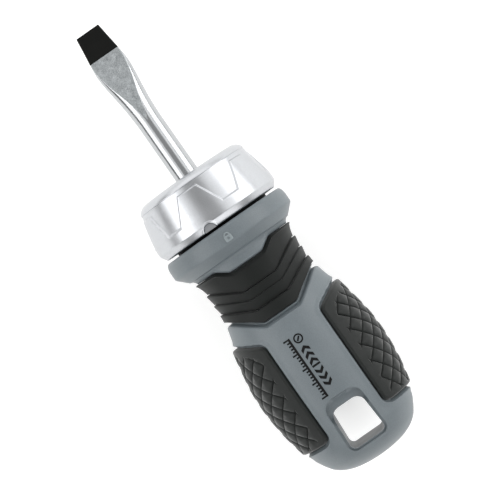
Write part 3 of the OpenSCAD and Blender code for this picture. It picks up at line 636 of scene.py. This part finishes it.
def makeCore():
    c = core
    n = neck
    rows = [(c["boreBack"], 0), (c["boreBack"], c["bore"]), (c["front"], c["bore"])]
    rules = ["keep"] * 3
    # a row whose radius follows from its rule, below, starts out at one of these
    rough = {"tongue": 12.6, "rim": 12.2, "body": 12.7}
    # rows are close where the shoulder turns
    places = [14.3, 14.36, 14.55, 14.75, 15.05, 15.4, 15.85, 16.3, 16.8, 17.4, 17.9, 18.2, 18.33, 18.45,
              18.56, 18.68] + [mixed(18.9, 20.65, i / 7) for i in range(8)]
    places += [20.75, 20.82, 20.88, 20.93, 20.98, 21.08, c["shoulderBack"]]
    for place in places:
        rows.append((place, valueAt(shoulderCurve, place)))
        rules.append("keep")
    for low, high, cuts in ((c["shoulderBack"], c["tongueStart"], 12), (c["tongueStart"], n["front"], 7)):
        for i in range(1, cuts + 1):
            rows.append((mixed(low, high, i / cuts), rough["tongue"]))
            rules.append("tongue")
    rows += [(n["front"], c["waist"]), (n["back"], c["waist"])]
    rules += ["waistFront", "waistBack"]
    for i in range(10):
        rows.append((mixed(n["back"], n["back"] + c["rimLen"], i / 9), rough["rim"]))
        rules.append("rim")
    for place in (0.03, 0.1, 0.2, 0.32, 0.5):
        rows.append((n["back"] + c["rimLen"] + place, rough["body"]))
        rules.append("body")
    for point in bodyCurve:
        if point.x > n["back"] + c["rimLen"] + 0.7:
            rows.append((point.x, max(point.y, 0)))
            rules.append("body")
    bm, row = spinProfile(rows, c["columns"])
    for v in bm.verts:
        rule = rules[v[row]]
        depth, angle, radius = polar(v.co)
        if rule == "keep":
            continue
        edge = neckEdge(0, angle)
        rear = neckEdge(4, angle)
        if rule == "tongue":
            share = (depth - c["shoulderBack"]) / (c["tongueStart"] - c["shoulderBack"])
            depth += (edge - n["front"]) * min(1, max(0, share))
            rolled = 1 - c["sideRoll"] * math.sin(angle) ** 2
            radius = valueAt(shoulderCurve, depth) - quarterRound(edge - depth, c["tongueRound"]) * rolled
        elif rule == "waistFront":
            depth = edge
        elif rule == "waistBack":
            depth = rear
        elif rule == "rim":
            depth += rear - n["back"]
            radius = bodyRadius(depth, angle) - valueAt(c["rim"], depth - rear)
        else:
            along = depth - n["back"] - c["rimLen"]
            depth += (rear - n["back"]) * (1 - min(1, along / c["settle"]) ** c["settlePower"])
            start = depth - rear - c["rimLen"]
            radius = lens(radius if along > c["settle"] else valueAt(bodyCurve, depth), angle)
            radius -= c["rimDrop"] * quarterRound(start, c["bodyRound"]) / c["bodyRound"]
        v.co = fromPolar(depth, angle, radius)
    shapeBody(bm)
    finishPiece(bm, "handle_shell", "handle", [mouldedGrey], ["handle_core"], 38)


def shapeBody(bm):  # pockets for the side grips, and the hang hole with its scoop
    g, h = grip, hole
    reach = 0.7  # how far from an outline the middle of a face can be, for the face to be cut
    skin = 9  # faces further in than this belong to the bore
    front, back = g["front"] - g["margin"], g["back"] + g["margin"]
    low, high = h["front"] - h["margin"], h["back"] + h["margin"]
    grips = gripOutline(g["gap"])
    rim = holeOutline(h["lip"], h["rampLen"])
    for side in (1, -1):
        for grow in (g["gap"] + g["bevelWidth"], g["gap"] + g["bevelWidth"] / 2):
            cutAlong(bm, [Vector((p.x, side * p.y)) for p in gripOutline(grow)], reach)
    for grow in (h["edgeRound"], h["edgeRound"] / 3):
        cutAlong(bm, holeOutline(h["lip"] + grow, h["rampLen"]), reach)
    for v in bm.verts:
        depth, angle, radius = polar(v.co)
        y = abs(v.co.y)
        if front < depth < back and y > g["leastHalf"]:
            away = outlineDistance(grips, depth, y)
            radius -= g["bevelDrop"] * (1 - ramp(-0.1, g["bevelWidth"], away))
            rise = ramp(g["beadStart"], g["bevelWidth"], away)
            radius += g["bead"] * rise * (1 - ramp(g["bevelWidth"], g["beadEnd"], away))
        elif low < depth < high and y < h["mostHalf"]:
            radius -= quarterRound(max(0, outlineDistance(rim, depth, y)), h["edgeRound"]) * h["edgeHeight"]
        v.co = fromPolar(depth, angle, radius)
    for side in (1, -1):
        outline = [Vector((p.x, side * p.y)) for p in grips]
        cutAlong(bm, outline, reach)
        for v in pressedIn(bm, facesInside(bm, outline, front, back, skin)):
            depth, angle, radius = polar(v.co)
            v.co = fromPolar(depth, angle, bodyRadius(depth, angle) - g["bury"] - 0.05)
    cutAlong(bm, rim, reach)
    for v in pressedIn(bm, facesInside(bm, rim, low, high, skin)):
        depth = -v.co.x
        floor = abs(v.co.z) - h["lipDrop"]
        run = depth - h["rampDepth"]
        if abs(run) < h["rampRadius"]:
            scoop = h["rampHeight"] - math.sqrt(h["rampRadius"] ** 2 - run ** 2)
            floor = mixed(min(floor, scoop), floor, ramp(h["rampEnd"], h["rampEnd"] + h["rampFade"], depth))
        v.co.z = math.copysign(floor, v.co.z)
    window = holeOutline(0)
    cutAlong(bm, window, reach)
    bmesh.ops.delete(bm, geom=facesInside(bm, window, low, high, skin), context="FACES")
    rims = [e for e in bm.edges if e.is_boundary]
    walls = bmesh.ops.extrude_edge_only(bm, edges=rims)["geom"]
    middle = vertsOf(walls)
    for v in middle:
        v.co.z = 0
    bmesh.ops.remove_doubles(bm, verts=middle, dist=0.02)


def pressedIn(bm, faces):  # new vertices of a region that gets walls round it
    out = bmesh.ops.extrude_face_region(bm, geom=faces)["geom"]
    left = [f for f in faces if f.is_valid]
    if left:
        bmesh.ops.delete(bm, geom=left, context="FACES")
    return vertsOf(out)


makeCore()


# Rubber sleeve round the neck: four overlapping layers with wavy lips

sleeve = {
    "inner": 10.65, "columns": 300,
    # radius of each layer at its front lip and at its back
    "tops": (12.8, 12.56, 12.46, 12.5), "ends": (12.05, 12.05, 11.95, 12.62),
    "flare": 0.45, "groove": 0.4, "frontGap": 0.12, "frontRound": 0.8, "frontDrop": 0.9,
    "sideRoll": 0.7,  # how much less round the front lip is at the sides
}


def makeSleeve():
    s = sleeve
    # each row: number of its wavy edge, share of the way to the next edge, shift along the shaft, radius
    rules = []
    for i in range(4):
        top, end = s["tops"][i], s["ends"][i]
        if i:
            rules.append((i, 0, 0.04, end if i == 3 else top - 0.75))
            rules += [(i, 0, shift, top - drop)
                      for shift, drop in ((0.02, 0.28), (0.07, 0.12), (0.16, 0.03), (0.3, 0))]
        else:
            gap, turn = s["frontGap"], s["frontRound"]
            rules += [(0, 0, gap, s["inner"])]
            rules += [(0, 0, gap + turn * k, top - s["frontDrop"] * (1 - k) ** 1.6)
                      for k in (0, 0.15, 0.35, 0.6, 1)]
        for k in range(1, 9):
            rules.append((i, k / 9, 0.2, mixed(top, end, (k / 9) ** (0.6 if i == 0 else 1))))
        if i < 3:
            rules += [(i + 1, 0, -0.24, end), (i + 1, 0, -0.12, end - s["groove"]),
                      (i + 1, 0, 0.03, end - s["groove"] - 0.05)]
        else:
            rules += [(4, 0, -0.36, end), (4, 0, -0.14, end - 0.08), (4, 0, -0.03, end - 0.28),
                      (4, 0, -0.02, s["inner"])]
    # rows start out close together, and move to their edges below
    rows = [(neck["front"] + 0.1 * i, r[3]) for i, r in enumerate(rules)]
    bm, row = spinProfile(rows, s["columns"], True)
    for v in bm.verts:
        i, share, shift, radius = rules[v[row]]
        angle = polar(v.co)[1]
        start = neckEdge(i, angle)
        if i == 0 and share == 0:
            sideways = s["sideRoll"] * math.sin(angle) ** 2
            shift *= 1 - sideways
            radius += (s["tops"][0] - radius) * sideways * (radius > s["inner"] + 0.1)
        depth = mixed(start, neckEdge(min(4, i + 1), angle), share) + shift
        if i == 0 and radius > 12:
            radius += s["flare"] * math.sin(angle) ** 2 * (1 - share) ** 2
        v.co = fromPolar(depth, angle, radius)
    finishPiece(bm, "neck_sleeve", "handle", [mouldedRubber], ["neck_grip"], 42)


makeSleeve()


# Side grips: rubber pads with a diamond pattern, half diamonds cut off at a plain border

diamonds = {
    # a diamond's half size round the shaft, in degrees, and along it
    "halfTurn": 9.5, "halfAlong": 2.175, "phase": 43.725, "radius": 16.5, "cells": 26, "reachTurn": 78,
    "border": 2.1, "endBorder": 0.8, "frontMost": 34, "backMost": 75,
    "grooveHalf": 0.29, "grooveDeep": 0.42, "pillow": 0.16, "pillowHalf": 0.9, "fade": 0.4,
    "edgeRound": 0.42, "edgeHeight": 1.2, "edgeGap": 0.14, "reachAlong": 18,
}


def grooveDistance(depth, turn):  # distance in mm to the nearest of the two sets of slanting grooves
    d = diamonds
    a, b = turn / d["halfTurn"], (depth - d["phase"]) / d["halfAlong"]
    steep = math.hypot(1 / math.radians(d["halfTurn"]) / d["radius"], 1 / d["halfAlong"])
    return min(abs(c - 2 * round(c / 2)) for c in (a + b, a - b)) / steep


def makeGrip(side):
    d, g = diamonds, grip
    wide = math.radians(d["halfTurn"]) * d["radius"]
    bm = bmesh.new()
    bmesh.ops.create_grid(bm, x_segments=d["cells"], y_segments=d["cells"], size=d["cells"] / 2)
    bmesh.ops.rotate(bm, verts=bm.verts, cent=(0, 0, 0), matrix=Matrix.Rotation(math.radians(45), 3, "Z"))
    bmesh.ops.scale(bm, vec=(math.sqrt(2) * wide, math.sqrt(2) * d["halfAlong"], 1), verts=bm.verts)
    middle = d["phase"] + 4 * d["halfAlong"]
    limit = math.radians(d["reachTurn"]) * d["radius"]
    far = [v for v in bm.verts
           if abs(v.co.x) > limit or not d["frontMost"] < middle + v.co.y < d["backMost"]]
    bmesh.ops.delete(bm, geom=far, context="VERTS")
    bmesh.ops.bevel(bm, geom=bm.edges[:], offset=d["grooveHalf"], affect="EDGES", segments=4, profile=0.5,
                    material=-1, clamp_overlap=False)
    for axis, step, length in ((0, wide / 3, limit), (1, d["halfAlong"] / 2, d["reachAlong"])):
        for k in range(-int(length / step), int(length / step) + 1):
            across = Vector((1 - axis, axis, 0))
            bmesh.ops.bisect_plane(bm, geom=bm.verts[:] + bm.edges[:] + bm.faces[:], dist=1e-3,
                                   plane_co=across * k * step, plane_no=across)
    for v in bm.verts:
        depth, angle = middle + v.co.y, -math.pi / 2 - v.co.x / d["radius"]
        v.co = fromPolar(depth, angle, bodyRadius(depth, angle) + g["rise"])
    inner = g["inner"] + d["border"]
    front, back = g["front"] + d["endBorder"], g["back"] - d["endBorder"]
    pattern = roundedOutline([(front, g["far"], 0), (front, g["shoulderHalf"] + 1.2, 0),
                              (front + g["slant"] + 0.9, inner, 0), (back, inner, 0), (back, g["far"], 0)])
    outline = gripOutline(-d["edgeGap"])
    reach = 1.5
    cutAlong(bm, pattern, reach)
    for inset in (0, 0.1, 0.24, d["edgeRound"]):
        cutAlong(bm, gripOutline(-d["edgeGap"] - inset), reach)
    outside = [f for f in bm.faces if outlineDistance(outline, *flatCentre(f)) > 0]
    bmesh.ops.delete(bm, geom=outside, context="FACES")
    top = set(vertsOf(bmesh.ops.extrude_face_region(bm, geom=bm.faces[:])["geom"]))
    for v in bm.verts:
        depth, angle, radius = polar(v.co)
        radius = bodyRadius(depth, angle)
        if v in top:
            near = grooveDistance(depth, math.degrees(-math.pi / 2 - angle))
            inPattern = ramp(0, d["fade"], -outlineDistance(pattern, depth, v.co.y))
            groove = d["grooveDeep"] * (1 - ramp(0, d["grooveHalf"], near))
            groove += d["pillow"] * (1 - ramp(d["grooveHalf"], d["pillowHalf"], near))
            edge = max(0, -outlineDistance(outline, depth, v.co.y))
            radius += g["rise"] - groove * inPattern - quarterRound(edge, d["edgeRound"]) * d["edgeHeight"]
        else:
            radius -= g["bury"]
        v.co = fromPolar(depth, angle, radius)
    if side < 0:
        bmesh.ops.scale(bm, vec=(1, -1, 1), verts=bm.verts)
        bmesh.ops.reverse_faces(bm, faces=bm.faces)
    name = "grip_left" if side > 0 else "grip_right"
    # the pads take the paler rubber, whose colour holds painted side light
    finishPiece(bm, "diamond_" + name, "handle", [gripRubberPaintedLight], [name], 50)


for side in (1, -1):
    makeGrip(side)


# Pawl springs: each coil is rebuilt from the imported spring's mesh

def makeSpring(side):
    name = "pawl_spring_" + side
    bm = bmesh.new()
    bm.from_mesh(frame["nodes"][name].data)
    bmesh.ops.scale(bm, vec=Vector((1, 1, 1)) / mm, verts=bm.verts)
    bmesh.ops.remove_doubles(bm, verts=bm.verts, dist=1e-3)
    coil = finishPiece(bm, "coil_" + side, None, [springSteel], [name], 50)
    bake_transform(coil)


makeSpring("left")
makeSpring("right")


# Padlock mark on the shoulder

mark = {
    "back": 18.1, "length": 1.45, "width": 1.9, "rise": 0.16, "shoulder": 16.3, "arch": 0.6, "bar": 0.17,
    "corner": 0.3, "edge": 0.06, "border": 0.22, "dish": 0.12, "keyhole": 0.3, "plugSink": 0.08,
    "plugThick": 0.12,
}


def makeMark():
    m = mark
    bm = bmesh.new()
    middle = m["back"] - m["length"] / 2
    bmesh.ops.create_cube(bm, size=1, matrix=Matrix.Translation((-middle, 0, m["shoulder"]))
                          @ Matrix.Diagonal((m["length"], m["width"], 2 * m["rise"], 1)))
    corners = [e for e in bm.edges if abs(e.verts[0].co.z - e.verts[1].co.z) > 0.1]
    bmesh.ops.bevel(bm, geom=corners, offset=m["corner"], affect="EDGES", segments=4, profile=0.5,
                    material=-1)
    upper = [e for e in bm.edges if min(v.co.z for v in e.verts) > m["shoulder"]]
    bmesh.ops.bevel(bm, geom=upper, offset=m["edge"], affect="EDGES", segments=2, profile=0.5, material=-1)
    lid = max(bm.faces, key=lambda f: f.calc_center_median().z)
    bmesh.ops.inset_region(bm, faces=[lid], thickness=m["border"])
    bmesh.ops.translate(bm, verts=lid.verts, vec=(0, 0, -m["dish"]))
    top = Vector((-m["back"] + m["length"], 0, m["shoulder"]))
    place = Matrix.Translation(top + Vector((0, m["arch"], 0))) @ Matrix.Rotation(math.pi / 2, 4, "Y")
    ring = bmesh.ops.create_circle(bm, segments=10, radius=m["bar"], matrix=place)["verts"]
    edges = list({e for v in ring for e in v.link_edges})
    bmesh.ops.spin(bm, geom=list(ring) + edges, cent=top, axis=(0, 0, 1), angle=-math.pi, steps=14)
    finishPiece(bm, "padlock_mark", "handle", [markGrey], (), 50)
    plug = bmesh.new()
    place = Matrix.Translation((-middle, 0, m["shoulder"] + m["rise"] - m["plugSink"]))
    bmesh.ops.create_cone(plug, cap_ends=True, segments=20, radius1=m["keyhole"], radius2=m["keyhole"],
                          depth=m["plugThick"], matrix=place)
    finishPiece(plug, "keyhole_mark", "handle", [mouldedGrey], (), 40)


makeMark()


# Printed pictograms: a slotted screw head, arrows for both ways of turning and a row of ticks

pictograms = {
    "thick": 0.03, "sink": 0.03, "start": 44.0, "end": 59.8, "row": 0.2, "rowHalf": 1.05, "stroke": 0.85,
    "screwRadius": 1.15, "screwRing": 0.36, "slotHalf": 0.2, "slotShare": 0.8, "screwGap": 0.75,
    "pitch": 1.65, "arrows": 3, "point": 0.85, "barGap": 0.1, "bar": 0.5, "barPitch": 0.9,
    "handleRadius": 14.6, "patch": 0.4,
    "scale": 1.95, "scaleBase": 0.55, "ticks": 21, "tickWide": 0.4, "tickLong": 1.15, "tickShort": 0.6,
}


def stamp(bm, corners):  # a flat patch of ink from its (depth, y) corners
    bm.faces.new([bm.verts.new((-depth, y, 0)) for depth, y in corners])


def stampBar(bm, front, back, low, high):
    stamp(bm, [(front, low), (back, low), (back, high), (front, high)])


def stampChevron(bm, depth, way):  # points towards the tip or the butt
    p = pictograms
    near, far = (depth + p["point"], depth) if way < 0 else (depth, depth + p["point"])
    for half in (p["rowHalf"], -p["rowHalf"]):
        stamp(bm, [(near, p["row"] + half), (near + p["stroke"], p["row"] + half),
                   (far + p["stroke"], p["row"]), (far, p["row"])])


def makePictograms():
    p = pictograms
    bm = bmesh.new()
    centre = p["start"] + p["screwRadius"]
    bmesh.ops.create_circle(bm, cap_ends=True, segments=40, radius=p["screwRadius"],
                            matrix=Matrix.Translation((-centre, p["row"], 0)))
    disc = bm.faces[:]
    bmesh.ops.inset_region(bm, faces=disc, thickness=p["screwRing"], use_boundary=True)
    bmesh.ops.delete(bm, geom=disc, context="FACES_ONLY")
    slot = (p["screwRadius"] - p["screwRing"]) * p["slotShare"]
    across, along = p["slotHalf"] / math.sqrt(2), slot / math.sqrt(2)
    stamp(bm, [(centre + along * k + across * j, p["row"] + along * k - across * j)
               for k, j in ((-1, -1), (1, -1), (1, 1), (-1, 1))])
    place = centre + p["screwRadius"] + p["screwGap"]
    for way in (-1, 1):
        for k in range(p["arrows"]):
            stampChevron(bm, place, way)
            place += p["pitch"]
        if way < 0:
            place += p["barGap"]
            stampBar(bm, place, place + p["bar"], p["row"] - p["rowHalf"], p["row"] + p["rowHalf"])
            place += p["barPitch"]
    base = p["scale"] + p["scaleBase"]
    stampBar(bm, p["start"], p["end"], p["scale"], base)
    pitch = (p["end"] - p["start"] - p["tickWide"]) / (p["ticks"] - 1)
    for k in range(p["ticks"]):
        long = p["tickLong"] if k % 5 == 0 else p["tickShort"]
        stampBar(bm, p["start"] + k * pitch, p["start"] + k * pitch + p["tickWide"], base, base + long)
    # cut across and along, so that the ink follows the handle's curve
    for axis, low, count in ((0, -p["end"], 41), (1, -1, 13)):
        for k in range(count):
            across = Vector((1 - axis, axis, 0))
            bmesh.ops.bisect_plane(bm, geom=bm.verts[:] + bm.edges[:] + bm.faces[:], dist=1e-4,
                                   plane_co=across * (low + p["patch"] * k), plane_no=across)
    top = set(vertsOf(bmesh.ops.extrude_face_region(bm, geom=bm.faces[:])["geom"]))
    for v in bm.verts:
        radius = bodyRadius(-v.co.x, math.asin(-v.co.y / p["handleRadius"]))
        radius += p["thick"] if v in top else -p["sink"]
        v.co.z = math.sqrt(radius ** 2 - v.co.y ** 2)
    finishPiece(bm, "printed_pictograms", "handle", [printInk], (), 40)


makePictograms()


# Floor, lights and camera

stage = {"floorSize": 3.0, "floorGap": 0.3, "world": 0.46, "glow": 0.55, "aim": (-0.02, 0, 0)}
# place in metres, size in metres and power in watts of each soft box
lamps = {
    "soft_left": ((0.03, 0.46, 0.32), (0.75, 0.32), 1.75),
    "soft_right": ((0.03, -0.5, 0.25), (0.75, 0.4), 2.35),
    "high_left": ((0.0, 0.31, 0.53), (0.8, 0.2), 0.44),
    "high_right": ((0.0, -0.31, 0.53), (0.8, 0.22), 0.58),
    "soft_tip": ((0.55, 0.0, 0.26), (0.9, 0.46), 1.6),
    "soft_butt": ((-0.6, 0.0, 0.31), (0.9, 0.3), 1.35),
}
# the photograph looks down on the front face with the tip at the upper left
view = {
    "centre": Vector((-22.4, -2.0, 0)) * mm, "distance": 0.663, "roll": math.radians(1.35),
    "up": Vector((0.819678, -0.572825, 0)), "field": math.radians(10.02),
}


def makeStage():
    low = cadBox[0].z
    bm = bmesh.new()
    bmesh.ops.create_grid(bm, x_segments=8, y_segments=8, size=stage["floorSize"] / 2,
                          matrix=Matrix.Translation((0, 0, low - stage["floorGap"] * mm)))
    mesh = bpy.data.meshes.new("floor")
    bm.to_mesh(mesh)
    bm.free()
    floor = bpy.data.objects.new("floor", mesh)
    bpy.context.scene.collection.objects.link(floor)
    # white translucent board with a little light from below: matt and even
    mesh.materials.append(surface("painted_board", ("#cdcdcc", "#d2d2d1"), 0, (0.8, 0.9), 3, 0.02, 80,
                                  {"Emission Color": linear("#ffffff"), "Emission Strength": stage["glow"]}))


def softBox(name, place, size, watts):
    light = bpy.data.lights.new(name, "AREA")
    light.shape = "RECTANGLE"
    light.size, light.size_y = size
    light.energy = watts
    lamp = bpy.data.objects.new(name, light)
    lamp.location = place
    lamp.rotation_euler = (Vector(stage["aim"]) - Vector(place)).to_track_quat("-Z", "Y").to_euler()
    bpy.context.scene.collection.objects.link(lamp)


def makeWorld():
    world = bpy.data.worlds.new("studio")
    bpy.context.scene.world = world
    world.use_nodes = True
    tree = world.node_tree
    tree.nodes.clear()
    coordinates = addNode(tree, "ShaderNodeTexCoord", {})
    parts = addNode(tree, "ShaderNodeSeparateXYZ", {}, [("Vector", coordinates, "Generated")])
    # the room is an even light grey, with a paler ceiling right overhead
    tone = colourRamp(tree, parts, "Z", [(0.0, grey(0.62)), (0.8, grey(0.62)), (0.93, grey(0.95)),
                                         (1.0, grey(1))])
    back = addNode(tree, "ShaderNodeBackground", {"Strength": stage["world"]}, [("Color", tone, "Color")])
    addNode(tree, "ShaderNodeOutputWorld", {}, [("Surface", back, "Background")])


def makeCamera():
    optics = bpy.data.cameras.new("camera")
    optics.sensor_width = 36
    optics.lens = optics.sensor_width / 2 / math.tan(view["field"] / 2)
    optics.clip_start, optics.clip_end = 0.01, 10
    camera = bpy.data.objects.new("camera", optics)
    back = Vector((0, -math.sin(view["roll"]), math.cos(view["roll"])))
    right = view["up"].cross(back).normalized()
    up = back.cross(right)
    turn = Matrix((right, up, back)).transposed()
    camera.matrix_world = Matrix.Translation(view["centre"] + back * view["distance"]) @ turn.to_4x4()
    bpy.context.scene.collection.objects.link(camera)
    bpy.context.scene.camera = camera


makeStage()
makeWorld()
for name, (place, size, watts) in lamps.items():
    softBox(name, place, size, watts)
makeCamera()
bpy.context.scene.view_settings.view_transform = "Standard"
print("stage set")
